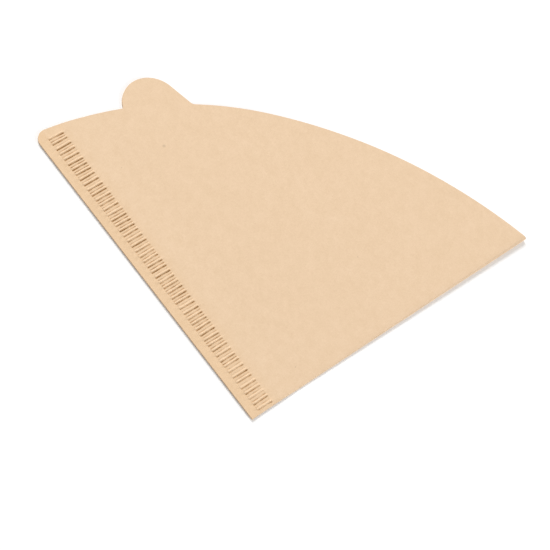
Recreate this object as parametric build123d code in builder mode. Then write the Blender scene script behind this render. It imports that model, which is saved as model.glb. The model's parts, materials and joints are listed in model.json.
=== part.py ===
"""A cone coffee filter: one sheet of paper, folded double, crimped along its seam and lying flat.

X runs along the fold and Y along the seam, both from the closed tip. The lower ply lies on Z = 0.
The upper ply opens away from it, towards the mouth. The origin is under the middle of the sheet.
"""

import os

from build123d import *

# Sheet, in millimetres
paper = 0.2
fold_length = 127.0
seam_length = 120.2
corner_radius = 4.0

# Mouth: two arcs that meet where the edge stands highest over the line between its two corners
mouth_rise = 27.6
shoulder_distance = 78.7

# Tab on the mouth: a round lug with one flank that runs out towards the fold
tab_distance = 44.3
tab_radius = 10.3
tab_stand = 0.4
tab_flank_slope = 51.0
tab_flank_blend = 2.0
tab_root_blend = 0.8

# Space between the plies: pressed in the seam, at the seam's cut edge, and at the end of the fold
pressed_gap = 0.05
edge_gap = 0.4
fold_gap = 2.0

# Crimped seam: a bare allowance, then a band of ridges with deep and shallow grooves in turn
allowance = 3.1
band_width = 6.8
crimp_length = 6.5
crimp_pitch = 2.18
crimp_height = 0.4
shallow_groove_height = 0.2
deep_groove_width = 0.16
crest_width = 0.3
crimp_ramp = 0.6
crimp_fold_margin = 1.25
crimp_mouth_margin = 3.0

# How far trimmed shapes run past the edge that trims them
overrun = 5.0

band_end = allowance + band_width
seam_thickness = 2 * paper + pressed_gap
fold_axis = paper + fold_gap / 2
sheet_reach = seam_length + mouth_rise + tab_radius
fold_opening = (fold_gap - pressed_gap) / (fold_length - band_end)
edge_opening = (edge_gap - pressed_gap) / allowance


def gap_at(x):
    """Space between the plies: none but the pressed one in the band, then growing to both sides."""
    past_band = max(x - band_end, 0)
    before_band = max(allowance - x, 0)
    return pressed_gap + past_band * fold_opening + before_band * edge_opening


def folded_section(x, wall):
    """The plies' section across X, round at the fold. With no wall it is the space between them."""
    gap = gap_at(x)
    low = paper - wall
    high = paper + gap + wall
    nose = fold_axis - gap / 2 - wall
    with BuildSketch(Plane.YZ.offset(x)) as section:
        with BuildLine():
            Polyline((fold_axis, low), (sheet_reach, low), (sheet_reach, high), (fold_axis, high))
            ThreePointArc((fold_axis, high), (nose, (low + high) / 2), (fold_axis, low))
        make_face()
    return section.sketch


# Outline of the flat sheet
seam_corner = Vector(0, seam_length)
fold_corner = Vector(fold_length, 0)
chord = (fold_corner - seam_corner).normalized()
shoulder = seam_corner + chord * shoulder_distance + chord.rotate(Axis.Z, 90) * mouth_rise

with BuildLine() as mouth:
    seam_arc = TangentArc(shoulder, seam_corner, tangent=-chord)
    TangentArc(shoulder, fold_corner, tangent=chord)

tab_start = seam_arc.length - tab_distance
tab_foot = seam_arc.position_at(tab_start, PositionMode.LENGTH)
tab_along = -seam_arc.tangent_at(tab_foot)
tab_plane = Plane(tab_foot, x_dir=tab_along, z_dir=(0, 0, 1))

flank_direction = Vector(1, 0).rotate(Axis.Z, -tab_flank_slope)
lug_centre = Vector(0, tab_stand)
flank_top = lug_centre + flank_direction.rotate(Axis.Z, 90) * tab_radius
flank_foot = flank_top + flank_direction * (2 * tab_radius)

with BuildSketch(tab_plane) as tab:
    with Locations(lug_centre):
        Circle(tab_radius)
    with BuildLine():
        Polyline(lug_centre, flank_top, flank_foot, close=True)
    make_face()

corner_blends = [
    (seam_corner, corner_radius),
    (tab_plane.from_local_coords(Vector(-tab_radius, 0)), tab_root_blend),
    (tab_plane.from_local_coords(flank_foot), tab_flank_blend),
]

with BuildSketch() as outline:
    with BuildLine():
        add(mouth.line)
        Polyline(seam_corner, (0, -overrun), (fold_length, -overrun), fold_corner)
    make_face()
    add(tab.sketch)
    for place, radius in corner_blends:
        fillet(outline.vertices().sort_by_distance(place)[0], radius)

# Ridges that the crimping wheel presses up: a pair for each crimp, with its deep groove between them
crimp_start = allowance + (band_width - crimp_length) / 2
crimp_end = crimp_start + crimp_length
crimp_run = seam_length - crimp_fold_margin - crimp_mouth_margin
crimp_count = int(crimp_run / crimp_pitch)
crimp_middle = crimp_fold_margin + crimp_count * crimp_pitch / 2

half_pitch = crimp_pitch / 2
crest_outer = (half_pitch + crest_width) / 2
crest_inner = (half_pitch - crest_width) / 2

with BuildSketch() as ridge_pair:
    with BuildLine():
        Polyline(
            (deep_groove_width / 2, 0),
            (crest_inner, crimp_height),
            (crest_outer, crimp_height),
            (half_pitch, shallow_groove_height),
            (half_pitch, 0),
            close=True,
        )
    make_face()
    mirror(about=Plane.YZ)

with BuildPart() as ridges:
    with BuildSketch(Plane.YZ.offset(crimp_start)):
        with Locations((crimp_middle, 0)):
            with GridLocations(crimp_pitch, 0, crimp_count, 1):
                add(ridge_pair.sketch)
    extrude(amount=crimp_length)
    with BuildSketch(Plane.XZ):
        with BuildLine():
            Polyline(
                (crimp_start, 0),
                (crimp_end, 0),
                (crimp_end - 2 * crimp_ramp, 2 * crimp_height),
                (crimp_start + 2 * crimp_ramp, 2 * crimp_height),
                close=True,
            )
        make_face()
    extrude(amount=-seam_length, mode=Mode.INTERSECT)

# The folded sheet
edge_stations = [-overrun, allowance]
pocket_stations = [band_end, fold_length + overrun]

with BuildPart() as folded:
    loft([folded_section(x, paper) for x in edge_stations + pocket_stations], ruled=True)
    extrude(outline.sketch, amount=seam_thickness + 2 * fold_gap, mode=Mode.INTERSECT)
    loft([folded_section(x, 0) for x in edge_stations], ruled=True, mode=Mode.SUBTRACT)
    loft([folded_section(x, 0) for x in pocket_stations], ruled=True, mode=Mode.SUBTRACT)
    add(ridges.part, mode=Mode.SUBTRACT)
    with Locations((0, 0, seam_thickness)):
        add(ridges.part)

# The origin goes under the middle
middle = folded.part.bounding_box().center()

with BuildPart() as paper_filter:
    with Locations((-middle.X, -middle.Y, 0)):
        add(folded.part)

os.makedirs("parts", exist_ok=True)
paper_filter.part.label = "paper_filter"
export_step(paper_filter.part, "parts/paper_filter.step")
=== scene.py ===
"""Looks of a cone coffee filter: one folded and crimped sheet of unbleached paper, lying on a pale floor.

The sheet is laid out in millimetres in its own frame, X along the fold and Y along the seam, both from
the closed tip, and is then set on the tip corner of the solid that it replaces.
"""

import json
import math

import bmesh
import bpy
import numpy as np
from mathutils import Matrix, Vector, noise
from mathutils.geometry import delaunay_2d_cdt


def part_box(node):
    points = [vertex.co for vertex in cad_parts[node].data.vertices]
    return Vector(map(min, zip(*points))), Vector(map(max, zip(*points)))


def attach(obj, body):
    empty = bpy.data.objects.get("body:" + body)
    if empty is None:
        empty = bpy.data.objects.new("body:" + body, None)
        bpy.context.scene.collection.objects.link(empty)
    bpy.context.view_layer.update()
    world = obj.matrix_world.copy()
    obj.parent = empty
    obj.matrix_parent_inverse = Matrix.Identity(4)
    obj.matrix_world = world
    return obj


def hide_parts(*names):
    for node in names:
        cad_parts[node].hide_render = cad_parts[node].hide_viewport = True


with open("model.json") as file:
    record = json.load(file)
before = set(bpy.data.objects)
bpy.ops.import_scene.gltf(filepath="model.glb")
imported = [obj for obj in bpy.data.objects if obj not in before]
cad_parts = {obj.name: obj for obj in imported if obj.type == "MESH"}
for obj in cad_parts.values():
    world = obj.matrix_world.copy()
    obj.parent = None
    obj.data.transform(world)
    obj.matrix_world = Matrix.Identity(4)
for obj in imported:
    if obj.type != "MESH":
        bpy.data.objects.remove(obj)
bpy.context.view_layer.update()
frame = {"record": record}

# Frame
NODE = "paper_filter"
PAPER_COLOUR = frame["record"]["materials"][0]["base_color"][:3]
MM = 0.001
low_corner, high_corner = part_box(NODE)

# Sheet, in millimetres
PAPER = 0.2
FOLD_LENGTH = (high_corner.x - low_corner.x) / MM
SEAM_LENGTH = 120.2
CORNER_RADIUS = 4.0

# Mouth and its tab
MOUTH_RISE = 27.6
SHOULDER_DISTANCE = 78.7
TAB_DISTANCE = 44.3
TAB_RADIUS = 10.3
TAB_STAND = 0.4
TAB_FLANK_SLOPE = 51.0
TAB_FLANK_BLEND = 2.0
TAB_ROOT_BLEND = 0.8

# Space between the plies
PRESSED_GAP = 0.05
EDGE_GAP = 0.15
FOLD_GAP = 2.0
FOLD_AXIS = PAPER + FOLD_GAP / 2

# Slow waves of the upper ply
WAVE_LENGTH = 38.0
WAVE_HEIGHT = 0.10
WAVE_MARGIN = 25.0

# Crimped seam: deep grooves with shallow ones between them, pressed through both plies
ALLOWANCE = 3.1
BAND_WIDTH = 6.8
BAND_END = ALLOWANCE + BAND_WIDTH
CRIMP_LENGTH = 6.5
CRIMP_PITCH = 2.18
CRIMP_COUNT = 53
FIRST_CRIMP = 2.34
CRIMP_START = ALLOWANCE + (BAND_WIDTH - CRIMP_LENGTH) / 2
CRIMP_END = CRIMP_START + CRIMP_LENGTH
CRIMP_MIDDLE = (CRIMP_START + CRIMP_END) / 2
CRIMP_DEPTH = 0.36
CRIMP_RAMP = 0.35
GROOVE_WIDTH = 0.26
GROOVE_SQUARENESS = 2.5
SHALLOW_GROOVE_WIDTH = 0.18
SHALLOW_DEPTH = 0.9
RIDGE_BULGE = 0.24
LIFT_FADE = 12.0

# Spread of the grooves: their places, and their press as a share of the full one
CRIMP_SEED = 11
SHIFT_SPREAD = 0.08
SLANT_SPREAD = 0.025
TIP_PRESS = 0.62
MOUTH_PRESS = 1.08
PRESS_SPREAD = 0.47
TILT_SPREAD = 0.25
SHALLOW_PRESS = (0.14, 0.62)
END_GROOVE_PRESS = 0.6
# Painted shade on the low ridges, as a share of the full painted groove shade
LOW_RIDGE_SHADE = 0.04

# Press along a groove: its waves, and the two places near its ends, as shares of its length
GROOVE_WAVES = 1.6
DEEP_WAVE = 0.2
SHALLOW_WAVE = 0.35
OUTER_PRESS = 0.3
OUTER_PLACE = 0.12
OUTER_SPAN = 0.1
INNER_PRESS = 0.6
INNER_PLACE = 0.88
INNER_SPAN = 0.12

# Mesh density, in millimetres
EDGE_STEP = 0.7
PLY_STEP = 2.2
PLY_MARGIN = PLY_STEP / 3
FOLD_STEP = 1.5
BLEND_STEP = 0.2
BEND_STEPS = 10
POINT_TOLERANCE = 1e-6
FOLD_TOLERANCE = 1e-5
SHARP_ANGLE = 60

# Mesh rows of the crimps: beside a groove in widths of it, on the crests, and across its length
DEEP_ROWS = (0.4, 0.8, 1.15, 1.7)
SHALLOW_ROWS = (0.7, 1.5)
CREST = 0.65
RAMP_ROWS = 4
MIDDLE_ROWS = 9

# Ways that an arc turns
LEFT = 1
RIGHT = -1

# Paper, in millimetres: its fibres, its clouds, and flecks whose size is a share of their spacing
FIBRE_SIZE = (1.4, 0.18, 1)
FIBRE_ANGLES = (15, 75, 135)
FIBRE_DETAIL = 3.0
FIBRE_CURL = 0.6
FIBRE_RANGE = (1.2, 1.8)
FIBRE_CONTRAST = (0.04, 0.056, 0.082)
FIBRE_BUMP = 0.25
FIBRE_HEIGHT = 0.03
CLOUD_SCALE = 0.3
CLOUD_DETAIL = 4.0
CLOUD_RANGE = (0.3, 0.7)
CLOUD_CONTRAST = (0.018, 0.022, 0.032)
FLECK_SPACING = 5.0
FLECK_SIZE = 0.05
FLECK_SHARE = 0.12
FLECK_STRENGTH = 0.4
FLECK_COLOUR = (0.22, 0.12, 0.05)
LARGE_FLECK = low_corner / MM + Vector((36.4, 94.4, 0.9))
LARGE_FLECK_SIZE = 0.75
LARGE_FLECK_CORE = 0.2
LARGE_FLECK_STRENGTH = 0.25

# Paper's tints, painted highlight on its bends and crests, painted shade in its grooves, and gloss
WHITE = (1, 1, 1)
SEAM_TINT = (0.998, 0.968, 0.914)
# Painted highlight: a paler colour on the fold's bend and on the high crests, where light falls
PAINTED_HIGHLIGHT_TINT = (1.12, 1.13, 1.15)
# Painted shade: a browner colour in the grooves and faintly on the low ridges, where shade falls
GROOVE_SHADE_COLOUR = (0.46, 0.27, 0.108)
GROOVE_SHADE_STRENGTH = 0.97
PAPER_ROUGHNESS = 0.92
PAPER_SPECULAR = 0.25

# Camera
CAMERA_TARGET = low_corner + Vector((39.81, 37.0, 0)) * MM
CAMERA_DISTANCE = 0.7076
CAMERA_AZIMUTH = -69.73
CAMERA_ELEVATION = 58.37
CAMERA_ROLL = 34.36
CAMERA_LENS = 139.9
CAMERA_CLIP = 0.01

# Light
SKY_LIGHT = 0.425
LAMP_DISTANCE = 2.6
LAMP_SIZE = 1.2
KEY_AZIMUTH = 160
KEY_ELEVATION = 45
KEY_POWER = 45.8
FILL_AZIMUTH = 20
FILL_ELEVATION = 25
FILL_POWER = 20.0

# Floor
FLOOR_SIZE = 6.0
FLOOR_GRAIN = 400.0
FLOOR_DETAIL = 2.0
FLOOR_TONES = (0.965, 0.985)
FLOOR_GLOW = 0.1
FLOOR_NEAR = 0.15
FLOOR_FAR = 0.6


def left_of(way):
    return np.array([-way[1], way[0]])


def towards(start, end):
    return (end - start) / np.hypot(*(end - start))


def arc(centre, start, end, turn, step):
    """Points of an arc from start up to but without end."""
    radius = np.hypot(*(start - centre))
    first = math.atan2(*(start - centre)[::-1])
    last = math.atan2(*(end - centre)[::-1])
    sweep = turn * ((turn * (last - first)) % (2 * math.pi))
    count = max(2, math.ceil(radius * abs(sweep) / step))
    angles = first + sweep * np.arange(count) / count
    return centre + radius * np.column_stack([np.cos(angles), np.sin(angles)])


def line(start, end, step):
    """Points of a line from start up to but without end."""
    count = max(1, math.ceil(np.hypot(*(end - start)) / step))
    return start + (end - start) * (np.arange(count) / count)[:, None]


def tangent_arc(start, end, outward):
    """Centre and radius of the arc through start and end whose normal at start is outward."""
    chord = end - start
    centre = start + outward * (chord @ chord) / (2 * (chord @ outward))
    return centre, np.hypot(*(start - centre))


def circles_meet(centre_a, radius_a, centre_b, radius_b):
    """Where two circles cross, to the left of the way from the first centre to the second."""
    way = towards(centre_a, centre_b)
    span = np.hypot(*(centre_b - centre_a))
    along = (span**2 + radius_a**2 - radius_b**2) / (2 * span)
    return centre_a + along * way + math.sqrt(radius_a**2 - along**2) * left_of(way)


def line_enters_circle(point, way, centre, radius):
    along = (centre - point) @ way
    off = (centre - point) @ left_of(way)
    return point + (along - math.sqrt(radius**2 - off**2)) * way


# Mouth: two arcs that meet at the shoulder
seam_corner = np.array([0, SEAM_LENGTH])
fold_corner = np.array([FOLD_LENGTH, 0])
mouth_chord = towards(seam_corner, fold_corner)
mouth_outward = left_of(mouth_chord)
shoulder = seam_corner + mouth_chord * SHOULDER_DISTANCE + mouth_outward * MOUTH_RISE
seam_centre, seam_radius = tangent_arc(shoulder, seam_corner, mouth_outward)
fold_centre, fold_radius = tangent_arc(shoulder, fold_corner, mouth_outward)


def mouth_reach(y):
    """How far the sheet runs along the fold, at places near the fold."""
    return fold_centre[0] + np.sqrt(fold_radius**2 - (y - fold_centre[1]) ** 2)


def on_mouth(point):
    return seam_centre + seam_radius * towards(seam_centre, point)


def ply_outline():
    """Edge of one flat ply, from the fold's mouth end round the mouth and down the seam."""
    mouth_end = np.array([mouth_reach(FOLD_AXIS), FOLD_AXIS])

    # Tab
    foot_angle = math.atan2(*(seam_corner - seam_centre)[::-1]) - TAB_DISTANCE / seam_radius
    outward = np.array([math.cos(foot_angle), math.sin(foot_angle)])
    along = -left_of(outward)
    lug_centre = seam_centre + outward * (seam_radius + TAB_STAND)
    slope = math.radians(TAB_FLANK_SLOPE)
    flank_way = along * math.cos(slope) - outward * math.sin(slope)
    flank_normal = left_of(flank_way)
    flank_top = lug_centre + flank_normal * TAB_RADIUS
    flank_blend = line_enters_circle(
        flank_top + flank_normal * TAB_FLANK_BLEND, flank_way, seam_centre, seam_radius + TAB_FLANK_BLEND
    )
    flank_foot = flank_blend - flank_normal * TAB_FLANK_BLEND
    root_blend = circles_meet(
        seam_centre, seam_radius + TAB_ROOT_BLEND, lug_centre, TAB_RADIUS + TAB_ROOT_BLEND
    )
    lug_end = lug_centre + TAB_RADIUS * towards(lug_centre, root_blend)

    # Rounded corner at the seam's mouth end
    inset_radius = seam_radius - CORNER_RADIUS
    corner_rise = math.sqrt(inset_radius**2 - (CORNER_RADIUS - seam_centre[0]) ** 2)
    corner = np.array([CORNER_RADIUS, seam_centre[1] + corner_rise])
    seam_end = np.array([0, corner[1]])

    return np.vstack([
        arc(fold_centre, mouth_end, shoulder, LEFT, EDGE_STEP),
        arc(seam_centre, shoulder, on_mouth(flank_blend), LEFT, EDGE_STEP),
        arc(flank_blend, on_mouth(flank_blend), flank_foot, RIGHT, BLEND_STEP),
        line(flank_foot, flank_top, EDGE_STEP),
        arc(lug_centre, flank_top, lug_end, LEFT, EDGE_STEP),
        arc(root_blend, lug_end, on_mouth(root_blend), RIGHT, BLEND_STEP),
        arc(seam_centre, on_mouth(root_blend), on_mouth(corner), LEFT, EDGE_STEP),
        arc(corner, on_mouth(corner), seam_end, LEFT, BLEND_STEP),
        line(seam_end, np.array([0, FOLD_AXIS]), EDGE_STEP),
    ])


def inside(points, outline, margin):
    """Which points lie within the outline and at least margin away from it."""
    ways = np.roll(outline, -1, axis=0) - outline
    kept = np.zeros(len(points), bool)
    for index, point in enumerate(points):
        offset = point - outline
        share = np.clip((offset * ways).sum(1) / (ways**2).sum(1), 0, 1)
        nearest = np.hypot(*(offset - share[:, None] * ways).T).min()
        crosses = (outline[:, 1] > point[1]) != (outline[:, 1] + ways[:, 1] > point[1])
        with np.errstate(divide="ignore", invalid="ignore"):
            at = outline[:, 0] + (point[1] - outline[:, 1]) / ways[:, 1] * ways[:, 0]
        kept[index] = nearest > margin and (crosses & (point[0] < at)).sum() % 2 == 1
    return kept


# Grooves: each one's shift and slant, and how hard it is pressed along its length and at its two ends
draws = np.random.default_rng(CRIMP_SEED)
groove_shift = draws.uniform(-SHIFT_SPREAD, SHIFT_SPREAD, CRIMP_COUNT)
groove_slant = draws.uniform(-SLANT_SPREAD, SLANT_SPREAD, CRIMP_COUNT)
hardest_press = np.linspace(TIP_PRESS, MOUTH_PRESS, CRIMP_COUNT)
groove_press = hardest_press - PRESS_SPREAD * draws.uniform(0, 1, CRIMP_COUNT)
groove_wave = draws.uniform(0, 1, CRIMP_COUNT)
groove_tilt = draws.uniform(-TILT_SPREAD, TILT_SPREAD, CRIMP_COUNT)
outer_press = draws.uniform(0, OUTER_PRESS, CRIMP_COUNT)
inner_press = draws.uniform(0, INNER_PRESS, CRIMP_COUNT)
shallow_press = draws.uniform(*SHALLOW_PRESS, CRIMP_COUNT + 1)
groove_press[[0, -1]] *= END_GROOVE_PRESS
shallow_press[[0, -1]] = 0


def groove_at(number, x):
    """Place along the seam of a deep groove's middle."""
    held = np.clip(number, 0, CRIMP_COUNT - 1)
    straight = FIRST_CRIMP + CRIMP_PITCH * number + groove_shift[held]
    return straight + groove_slant[held] * (x - CRIMP_MIDDLE)


def both_sides(offsets):
    return np.concatenate([-offsets[::-1], [0], offsets])


def crimp_points():
    """Mesh points of the crimped band: rows along the grooves, close together where the sheet bends."""
    deep = both_sides(GROOVE_WIDTH * np.array(DEEP_ROWS))
    shallow = both_sides(SHALLOW_GROOVE_WIDTH * np.array(SHALLOW_ROWS))
    ramp = np.linspace(0, CRIMP_RAMP, RAMP_ROWS)
    middle = np.linspace(CRIMP_START + CRIMP_RAMP, CRIMP_END - CRIMP_RAMP, MIDDLE_ROWS + 2)[1:-1]
    points = []
    for x in np.concatenate([CRIMP_START + ramp, middle, CRIMP_END - ramp[::-1]]):
        lines = groove_at(np.arange(CRIMP_COUNT), x)
        between = (lines[1:] + lines[:-1]) / 2
        rows = np.concatenate([
            (lines[:, None] + deep).ravel(),
            (between[:, None] + shallow).ravel(),
            lines - CREST,
            lines + CREST,
            [lines[0] - CRIMP_PITCH / 2, lines[-1] + CRIMP_PITCH / 2],
        ])
        points.append(np.column_stack([np.full(len(rows), x), rows]))
    return np.vstack(points)


def flat_ply():
    """Points and triangles of one flat ply: fine in the crimped band and coarser elsewhere."""
    edge = ply_outline()
    fold_end = edge[0, 0]
    columns = np.concatenate([np.arange(0, BAND_END, EDGE_STEP), np.arange(BAND_END, fold_end, FOLD_STEP)])
    fold_edge = np.column_stack([columns, np.full(len(columns), FOLD_AXIS)])
    outline = np.vstack([edge, fold_edge])

    xs = np.arange(PLY_STEP / 2, FOLD_LENGTH, PLY_STEP)
    ys = np.arange(PLY_STEP / 2, SEAM_LENGTH + MOUTH_RISE, PLY_STEP)
    grid = np.array([(x, y + (i % 2) * PLY_STEP / 2) for i, x in enumerate(xs) for y in ys])
    grid = grid[(grid[:, 0] < CRIMP_START - EDGE_STEP) | (grid[:, 0] > CRIMP_END + EDGE_STEP)]
    grid = grid[inside(grid, outline, PLY_MARGIN)]
    points = [Vector(point) for point in np.vstack([outline, crimp_points(), grid])]

    count = len(outline)
    borders = [(i, (i + 1) % count) for i in range(count)]
    inside_only = 1
    flat, _, faces, *_ = delaunay_2d_cdt(points, borders, [], inside_only, POINT_TOLERANCE)
    return np.array(flat), np.array(faces)


def ease(value):
    value = np.clip(value, 0, 1)
    return value * value * (3 - 2 * value)


def bell(value, width):
    return np.exp(-((value / width) ** 2))


def gap_at(x):
    """Space between the plies: the pressed one in the band, growing to both sides."""
    past_band = np.maximum(x - BAND_END, 0) / (FOLD_LENGTH - BAND_END)
    before_band = np.maximum(ALLOWANCE - x, 0) / ALLOWANCE
    return PRESSED_GAP + past_band * (FOLD_GAP - PRESSED_GAP) + before_band * (EDGE_GAP - PRESSED_GAP)


def band_lift(x):
    """How high the grooves' bottoms hold the seam off the floor, fading into the pocket."""
    return CRIMP_DEPTH * (1 - ease((x - CRIMP_END) / LIFT_FADE))


def press_wave(height, along, number):
    """How the press of grooves rises and falls along them."""
    start = groove_wave[number % CRIMP_COUNT]
    return height * np.sin(2 * math.pi * (GROOVE_WAVES * along + start))


def crimps(points):
    """How far the crimps raise the sheet at flat points, and how much painted shade and painted highlight it
    gets there.
    """
    x, y = points.T

    # Nearest deep groove, the side of it, and the shallow groove on that side
    number = np.clip(np.round((y - FIRST_CRIMP) / CRIMP_PITCH), 0, CRIMP_COUNT - 1).astype(int)
    groove = groove_at(number, x)
    off = y - groove
    above = (off > 0).astype(int)
    between = (groove + groove_at(number + 2 * above - 1, x)) / 2
    along = (x - CRIMP_START) / CRIMP_LENGTH

    # Deep grooves
    tilt = groove_tilt[number] * (2 * along - 1)
    press = groove_press[number] * (1 + press_wave(DEEP_WAVE, along, number) + tilt)
    press += outer_press[number] * bell(along - OUTER_PLACE, OUTER_SPAN)
    press += inner_press[number] * bell(along - INNER_PLACE, INNER_SPAN)
    deep = np.clip(press, 0, 1) * np.exp(-np.abs(off / GROOVE_WIDTH) ** GROOVE_SQUARENESS)

    # Shallow grooves
    press = shallow_press[number + above] * (1 + press_wave(SHALLOW_WAVE, along, number + above))
    shallow = press * bell(y - between, SHALLOW_GROOVE_WIDTH)

    # Ridges, high ones and low ones in turn, and the ramps at the ends of them all
    bulge = np.maximum(1 - (2 * np.abs(off / (between - groove)) - 1) ** 2, 0)
    ends = ease((x - CRIMP_START) / CRIMP_RAMP) * ease((CRIMP_END - x) / CRIMP_RAMP)
    raised = RIDGE_BULGE * bulge * above - CRIMP_DEPTH * np.maximum(deep, SHALLOW_DEPTH * shallow)
    # Painted shade: how much darker colour goes in the grooves, and faintly on the low ridges, where shade
    # falls
    painted_groove_shade = np.maximum(np.maximum(deep, shallow), LOW_RIDGE_SHADE * bulge * (1 - above))
    # The third value is a painted highlight on the crests of the high ridges
    return ends * raised, ends * painted_groove_shade, ends * bulge * above


def waves(points):
    """Slow waves of the upper ply, still at the fold and at the seam."""
    heights = np.array([noise.noise(Vector((x, y, 0)) / WAVE_LENGTH) for x, y in points])
    x, y = points.T
    return WAVE_HEIGHT * heights * ease((x - BAND_END) / WAVE_MARGIN) * ease((y - FOLD_AXIS) / WAVE_MARGIN)


def cut_edges(triangles, on_fold):
    """Border edges of a ply that aren't on the fold."""
    sides = np.concatenate([triangles[:, [0, 1]], triangles[:, [1, 2]], triangles[:, [2, 0]]])
    known = {tuple(side) for side in sides}
    return [(a, b) for a, b in sorted(known) if (b, a) not in known and not (on_fold[a] and on_fold[b])]


def bend_ring(fold_x, wall, turn):
    """Points along the bend, outside or inside the paper, at a turn from straight up to straight down."""
    half_gap = gap_at(fold_x) / 2
    radius = half_gap + wall
    y = FOLD_AXIS - radius * math.cos(turn)
    x = fold_x * mouth_reach(y) / mouth_reach(FOLD_AXIS)
    z = band_lift(fold_x) + PAPER + half_gap + radius * math.sin(turn)
    return np.column_stack([x, y, z])


def strip_quads(rows):
    """Quads between rows of points."""
    last_row, last_column = rows.shape[0] - 1, rows.shape[1] - 1
    return [
        (rows[r, c], rows[r + 1, c], rows[r + 1, c + 1], rows[r, c + 1])
        for r in range(last_row)
        for c in range(last_column)
    ]


def sheet_shape():
    """Points and faces of the folded sheet, and its painted groove shade and painted highlight at each
    point.
    """
    points, triangles = flat_ply()
    raised, groove_shade_share, crest_highlight = crimps(points)
    low = band_lift(points[:, 0]) + raised
    high = low + PAPER + gap_at(points[:, 0]) + waves(points)
    layers = (high + PAPER, high, low + PAPER, low)
    upper_out, upper_in, lower_in, lower_out = (len(points) * k for k in range(len(layers)))
    coords = [np.column_stack([points, z]) for z in layers]
    # Painted shade in the grooves and painted highlight on the crests, the same for all four layers
    painted_groove_shade = [groove_shade_share] * len(layers)
    painted_highlight = [crest_highlight] * len(layers)

    # Plies
    faces = [tuple(t + upper_out) for t in triangles]
    faces += [tuple(t[::-1] + upper_in) for t in triangles]
    faces += [tuple(t + lower_in) for t in triangles]
    faces += [tuple(t[::-1] + lower_out) for t in triangles]

    # Cut edges
    on_fold = np.abs(points[:, 1] - FOLD_AXIS) < FOLD_TOLERANCE
    for a, b in cut_edges(triangles, on_fold):
        faces.append((a + upper_out, a + upper_in, b + upper_in, b + upper_out))
        faces.append((a + lower_in, a + lower_out, b + lower_out, b + lower_in))

    # Bend: rings from the upper ply to the lower one, outside and inside
    columns = np.flatnonzero(on_fold)
    columns = columns[np.argsort(points[columns, 0])]
    turns = np.linspace(math.pi / 2, -math.pi / 2, BEND_STEPS + 1)[1:-1]
    size = len(layers) * len(points)
    bends = []
    for wall, first, last in ((PAPER, upper_out, lower_out), (0, upper_in, lower_in)):
        rows = [columns + first]
        for turn in turns:
            coords.append(bend_ring(points[columns, 0], wall, turn))
            # The bend gets no painted shade, and a painted highlight that is strongest halfway round, where
            # it faces out
            painted_groove_shade.append(np.zeros(len(columns)))
            painted_highlight.append(np.full(len(columns), math.cos(turn)))
            rows.append(size + np.arange(len(columns)))
            size += len(columns)
        bends.append(np.array(rows + [columns + last]))
    out, within = bends
    faces += strip_quads(out)
    faces += [quad[::-1] for quad in strip_quads(within)]
    for end in (0, -1):
        faces += strip_quads(np.column_stack([within[:, end], out[:, end]]))

    faces = [tuple(map(int, face)) for face in faces]
    return np.vstack(coords), faces, np.concatenate(painted_groove_shade), np.concatenate(painted_highlight)


def sheet_mesh():
    """The folded sheet as one closed mesh, with the marks that its material reads: painted groove shade,
    painted highlight and the seam's tint.
    """
    coords, faces, painted_groove_shade, painted_highlight = sheet_shape()
    placed = coords * MM + np.array([low_corner.x, low_corner.y, 0])
    mesh = bpy.data.meshes.new("filter_sheet")
    mesh.from_pydata(placed.tolist(), [], faces)
    shaped = bmesh.new()
    shaped.from_mesh(mesh)
    bmesh.ops.recalc_face_normals(shaped, faces=shaped.faces)
    shaped.to_mesh(mesh)
    shaped.free()
    mesh.shade_smooth()
    mesh.set_sharp_from_angle(angle=math.radians(SHARP_ANGLE))

    from_seam = coords[:, 0]
    seam = 1 - (ease(from_seam - ALLOWANCE) + ease((from_seam - CRIMP_END) / ALLOWANCE)) / 2
    for name, values in (("painted_groove_shade", painted_groove_shade), ("painted_highlight", painted_highlight), ("seam", seam)):
        mark = mesh.attributes.new(name, "FLOAT", "POINT")
        mark.data.foreach_set("value", values.astype(np.float32))
    return mesh


def node(tree, kind, inputs=(), **settings):
    """A new shader node with its settings, and with a value or a link for each named input."""
    made = tree.nodes.new(kind)
    for name, value in settings.items():
        setattr(made, name, value)
    for name, value in dict(inputs).items():
        if isinstance(value, bpy.types.NodeSocket):
            tree.links.new(value, made.inputs[name])
        else:
            made.inputs[name].default_value = value
    return made


def maths(tree, operation, a, b):
    return node(tree, "ShaderNodeMath", {0: a, 1: b}, operation=operation).outputs[0]


def spread(tree, value, low, high, to_low=0.0, to_high=1.0):
    """A value's range from low to high, stretched to another range and held at its ends."""
    inputs = {"Value": value, "From Min": low, "From Max": high, "To Min": to_low, "To Max": to_high}
    return node(tree, "ShaderNodeMapRange", inputs).outputs[0]


def mixed(tree, factor, colour, other):
    """A colour that gives way to another one by a factor."""
    made = node(tree, "ShaderNodeMix", {"Factor": factor}, data_type="RGBA", clamp_factor=True)
    for name, value in (("A", colour), ("B", other)):
        if isinstance(value, bpy.types.NodeSocket):
            tree.links.new(value, made.inputs[name])
        else:
            made.inputs[name].default_value = (*value, 1)
    return made.outputs["Result"]


def tinted(tree, colour, factor, tint, other):
    """A colour times a tint that gives way to another one by a factor."""
    tint = mixed(tree, factor, tint, other)
    return node(tree, "ShaderNodeVectorMath", {0: colour, 1: tint}, operation="MULTIPLY").outputs[0]


def around(colour, contrast):
    """A darker and a lighter colour on both sides of one."""
    return [[c * (1 + sign * share) for c, share in zip(colour, contrast)] for sign in (-1, 1)]


def marked(tree, name):
    """A mark of the mesh."""
    return node(tree, "ShaderNodeAttribute", attribute_name=name).outputs["Fac"]


def new_material(name):
    material = bpy.data.materials.new(name)
    material.use_nodes = True
    return material, material.node_tree, material.node_tree.nodes["Principled BSDF"]


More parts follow.
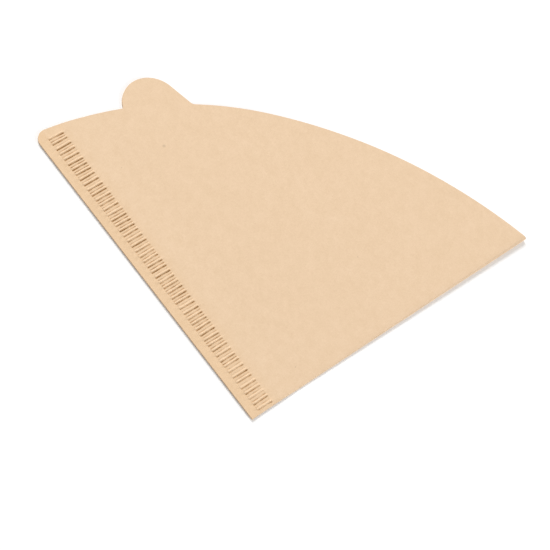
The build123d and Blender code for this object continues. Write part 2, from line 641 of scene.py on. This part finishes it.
def fibres(tree, place, angle):
    """Thin streaks that lie one way."""
    turn = {"Vector": place, "Rotation": (0, 0, math.radians(angle)), "Scale": FIBRE_SIZE}
    turned = node(tree, "ShaderNodeMapping", turn, vector_type="TEXTURE").outputs[0]
    grain = {"Vector": turned, "Scale": 1.0, "Detail": FIBRE_DETAIL, "Distortion": FIBRE_CURL}
    return node(tree, "ShaderNodeTexNoise", grain).outputs["Fac"]


def felted(tree, place):
    """Fibres that lie three ways, one over the other."""
    layers = [fibres(tree, place, angle) for angle in FIBRE_ANGLES]
    felt = maths(tree, "ADD", maths(tree, "ADD", layers[0], layers[1]), layers[2])
    return spread(tree, felt, *FIBRE_RANGE)


def clouded(tree, place):
    """Soft patches of thicker and thinner paper."""
    grain = {"Vector": place, "Scale": CLOUD_SCALE, "Detail": CLOUD_DETAIL}
    return spread(tree, node(tree, "ShaderNodeTexNoise", grain).outputs["Fac"], *CLOUD_RANGE)


def flecked(tree, place, paper):
    """The paper with its small flecks, and a larger one near the tab."""
    spots = node(tree, "ShaderNodeTexVoronoi", {"Vector": place, "Scale": 1 / FLECK_SPACING})
    near = spread(tree, spots.outputs["Distance"], FLECK_SIZE / 2, FLECK_SIZE, FLECK_STRENGTH, 0)
    drawn = node(tree, "ShaderNodeSeparateColor", {0: spots.outputs["Color"]}).outputs[0]
    chosen = maths(tree, "LESS_THAN", drawn, FLECK_SHARE)
    paper = mixed(tree, maths(tree, "MULTIPLY", near, chosen), paper, FLECK_COLOUR)
    away = node(tree, "ShaderNodeVectorMath", {0: place, 1: LARGE_FLECK}, operation="DISTANCE")
    away = away.outputs["Value"]
    large = spread(tree, away, LARGE_FLECK_CORE, LARGE_FLECK_SIZE, LARGE_FLECK_STRENGTH, 0)
    return mixed(tree, large, paper, FLECK_COLOUR)


def paper_material():
    """Unbleached filter paper with fibres, clouds and flecks, a painted highlight on its bends and crests,
    and painted shade in its grooves.
    """
    material, tree, shader = new_material("unbleached_paper")
    place = node(tree, "ShaderNodeTexCoord").outputs["Object"]
    place = node(tree, "ShaderNodeVectorMath", {0: place, "Scale": 1 / MM}, operation="SCALE").outputs[0]
    felt = felted(tree, place)
    paper = mixed(tree, felt, *around(PAPER_COLOUR, FIBRE_CONTRAST))
    paper = tinted(tree, paper, clouded(tree, place), *around(WHITE, CLOUD_CONTRAST))
    paper = tinted(tree, paper, marked(tree, "seam"), WHITE, SEAM_TINT)
    # Painted highlight: paler on the fold's bend and on the high crests
    paper = tinted(tree, paper, marked(tree, "painted_highlight"), WHITE, PAINTED_HIGHLIGHT_TINT)
    # Painted shade: browner in the grooves and faintly on the low ridges
    groove_shade_share = maths(tree, "MULTIPLY", marked(tree, "painted_groove_shade"), GROOVE_SHADE_STRENGTH)
    paper = mixed(tree, groove_shade_share, paper, GROOVE_SHADE_COLOUR)
    tree.links.new(flecked(tree, place, paper), shader.inputs["Base Color"])

    relief = {"Height": felt, "Strength": FIBRE_BUMP, "Distance": FIBRE_HEIGHT * MM}
    tree.links.new(node(tree, "ShaderNodeBump", relief).outputs[0], shader.inputs["Normal"])
    shader.inputs["Roughness"].default_value = PAPER_ROUGHNESS
    shader.inputs["Specular IOR Level"].default_value = PAPER_SPECULAR
    return material


def floor_material():
    """Pale floor with a faint grain. For the camera it glows a little, and far out it is white."""
    material, tree, shader = new_material("pale_floor")
    grain = node(tree, "ShaderNodeTexNoise", {"Scale": FLOOR_GRAIN, "Detail": FLOOR_DETAIL}).outputs["Fac"]
    tree.links.new(spread(tree, grain, 0, 1, *FLOOR_TONES), shader.inputs["Base Color"])
    shader.inputs["Roughness"].default_value = 1.0
    shader.inputs["Specular IOR Level"].default_value = 0.0
    shader.inputs["Emission Color"].default_value = (*WHITE, 1)
    place = node(tree, "ShaderNodeTexCoord").outputs["Object"]
    away = node(tree, "ShaderNodeVectorMath", {0: place}, operation="LENGTH").outputs["Value"]
    glow = spread(tree, away, FLOOR_NEAR, FLOOR_FAR, FLOOR_GLOW, 1.0)
    seen = node(tree, "ShaderNodeLightPath").outputs["Is Camera Ray"]
    tree.links.new(maths(tree, "MULTIPLY", seen, glow), shader.inputs["Emission Strength"])
    return material


def add_floor():
    mesh = bpy.data.meshes.new("floor")
    half = FLOOR_SIZE / 2
    corners = [(-half, -half, 0), (half, -half, 0), (half, half, 0), (-half, half, 0)]
    mesh.from_pydata(corners, [], [(0, 1, 2, 3)])
    mesh.materials.append(floor_material())
    floor = bpy.data.objects.new("floor", mesh)
    bpy.context.scene.collection.objects.link(floor)


def add_sheet():
    mesh = sheet_mesh()
    mesh.materials.append(paper_material())
    sheet = bpy.data.objects.new("filter_sheet", mesh)
    bpy.context.scene.collection.objects.link(sheet)
    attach(sheet, "root")
    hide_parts(NODE)


def looking(azimuth, elevation):
    """Unit way of a view from that side and height, in degrees. Azimuth 0 looks along +Y."""
    azimuth, elevation = math.radians(azimuth), math.radians(elevation)
    level = math.cos(elevation)
    return Vector((-math.sin(azimuth) * level, math.cos(azimuth) * level, -math.sin(elevation)))


def set_aim(thing, target, distance, azimuth, elevation, roll=0.0):
    way = looking(azimuth, elevation)
    turn = way.to_track_quat("-Z", "Y").to_matrix() @ Matrix.Rotation(math.radians(roll), 3, "Z")
    thing.matrix_world = Matrix.Translation(Vector(target) - distance * way) @ turn.to_4x4()


def add_camera():
    lens = bpy.data.cameras.new("camera")
    lens.lens = CAMERA_LENS
    lens.clip_start = CAMERA_CLIP
    camera = bpy.data.objects.new("camera", lens)
    bpy.context.scene.collection.objects.link(camera)
    set_aim(camera, CAMERA_TARGET, CAMERA_DISTANCE, CAMERA_AZIMUTH, CAMERA_ELEVATION, CAMERA_ROLL)
    bpy.context.scene.camera = camera


def add_lamp(name, azimuth, elevation, power):
    """A soft round lamp, aimed at the sheet."""
    lamp = bpy.data.lights.new(name, "AREA")
    lamp.shape = "DISK"
    lamp.size = LAMP_SIZE
    lamp.energy = power
    placed = bpy.data.objects.new(name, lamp)
    bpy.context.scene.collection.objects.link(placed)
    set_aim(placed, (0, 0, 0), LAMP_DISTANCE, azimuth, elevation)


def add_world():
    """Even white light, and a white background for what the camera sees past the floor."""
    world = bpy.data.worlds.new("studio")
    bpy.context.scene.world = world
    world.use_nodes = True
    tree = world.node_tree
    path = node(tree, "ShaderNodeLightPath")
    seen = maths(tree, "MAXIMUM", path.outputs["Is Camera Ray"], path.outputs["Is Glossy Ray"])
    seen = maths(tree, "MAXIMUM", seen, path.outputs["Is Transmission Ray"])
    back = tree.nodes["Background"]
    tree.links.new(spread(tree, seen, 0, 1, SKY_LIGHT, 1.0), back.inputs["Strength"])
    back.inputs["Color"].default_value = (*WHITE, 1)


add_sheet()
add_floor()
add_world()
add_lamp("key", KEY_AZIMUTH, KEY_ELEVATION, KEY_POWER)
add_lamp("fill", FILL_AZIMUTH, FILL_ELEVATION, FILL_POWER)
add_camera()
bpy.context.scene.view_settings.view_transform = "Standard"
